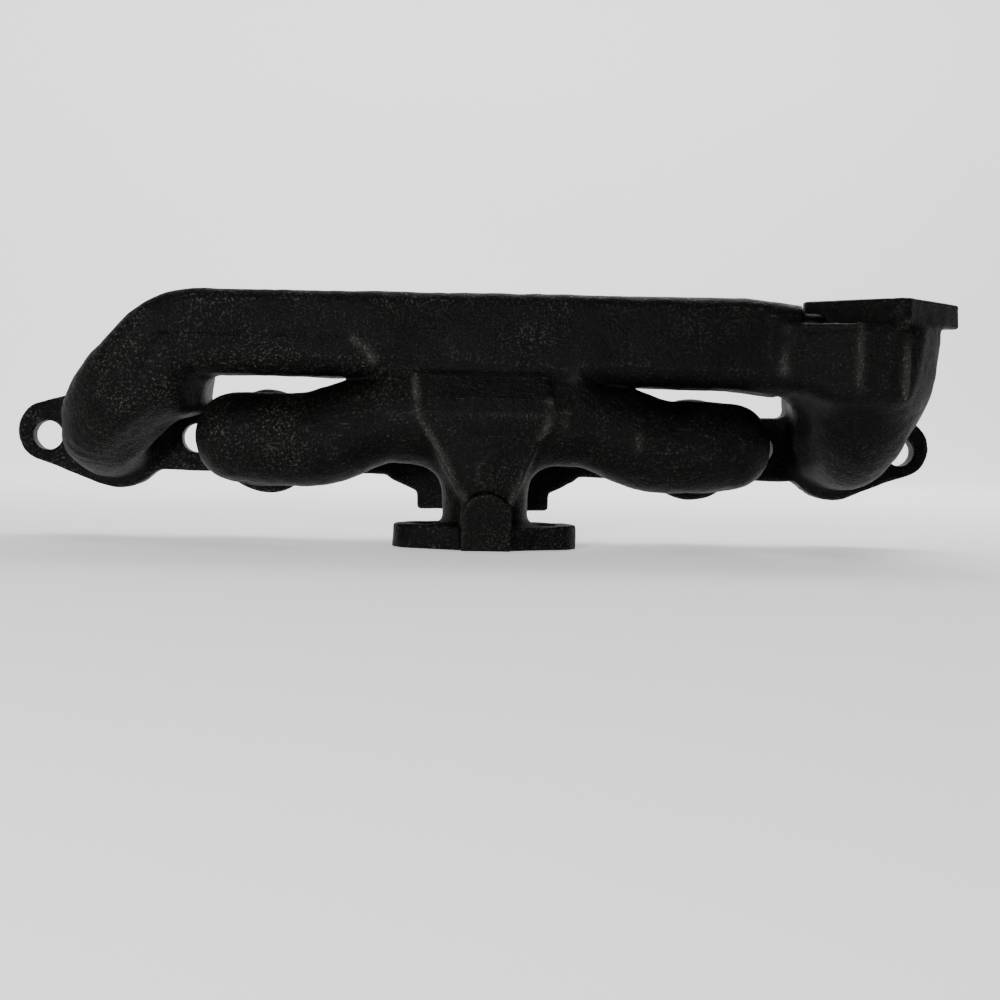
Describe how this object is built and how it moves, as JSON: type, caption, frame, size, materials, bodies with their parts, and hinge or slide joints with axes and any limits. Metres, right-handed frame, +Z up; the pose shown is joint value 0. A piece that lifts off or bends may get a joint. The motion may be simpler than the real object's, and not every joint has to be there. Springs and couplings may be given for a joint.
{
  "type": "combined intake and exhaust manifold",
  "caption": "Black-painted cast-iron intake and exhaust manifold: exhaust log with an upward outlet flange over twin intake runners that meet above a carburettor flange.",
  "frame": {"origin": "on the carburettor face, under the middle of the part's length and depth", "axes": "+X along the engine towards the outlet end, +Y out of the head face towards the cylinder head, +Z up out of the outlet face"},
  "size_m": [0.38, 0.0764, 0.0992],
  "materials": {
    "black_cast_iron": "semi-gloss black paint over rough sand-cast iron"
  },
  "bodies": {
    "root": {"left_stud_ear": "black_cast_iron", "left_end_port_flange": "black_cast_iron", "left_stud_web": "black_cast_iron", "left_intake_port_flange": "black_cast_iron", "left_centre_web": "black_cast_iron", "centre_port_flange": "black_cast_iron", "right_centre_web": "black_cast_iron", "right_intake_port_flange": "black_cast_iron", "right_stud_web": "black_cast_iron", "right_end_port_flange": "black_cast_iron", "right_stud_ear": "black_cast_iron", "exhaust_log": "black_cast_iron", "left_exhaust_elbow": "black_cast_iron", "right_exhaust_elbow": "black_cast_iron", "centre_exhaust_branch": "black_cast_iron", "outlet_riser": "black_cast_iron", "outlet_flange": "black_cast_iron", "hot_spot_box": "black_cast_iron", "left_intake_runner": "black_cast_iron", "right_intake_runner": "black_cast_iron", "carburettor_neck": "black_cast_iron", "riser_pad": "black_cast_iron", "carburettor_flange": "black_cast_iron"}
  },
  "joints": []
}
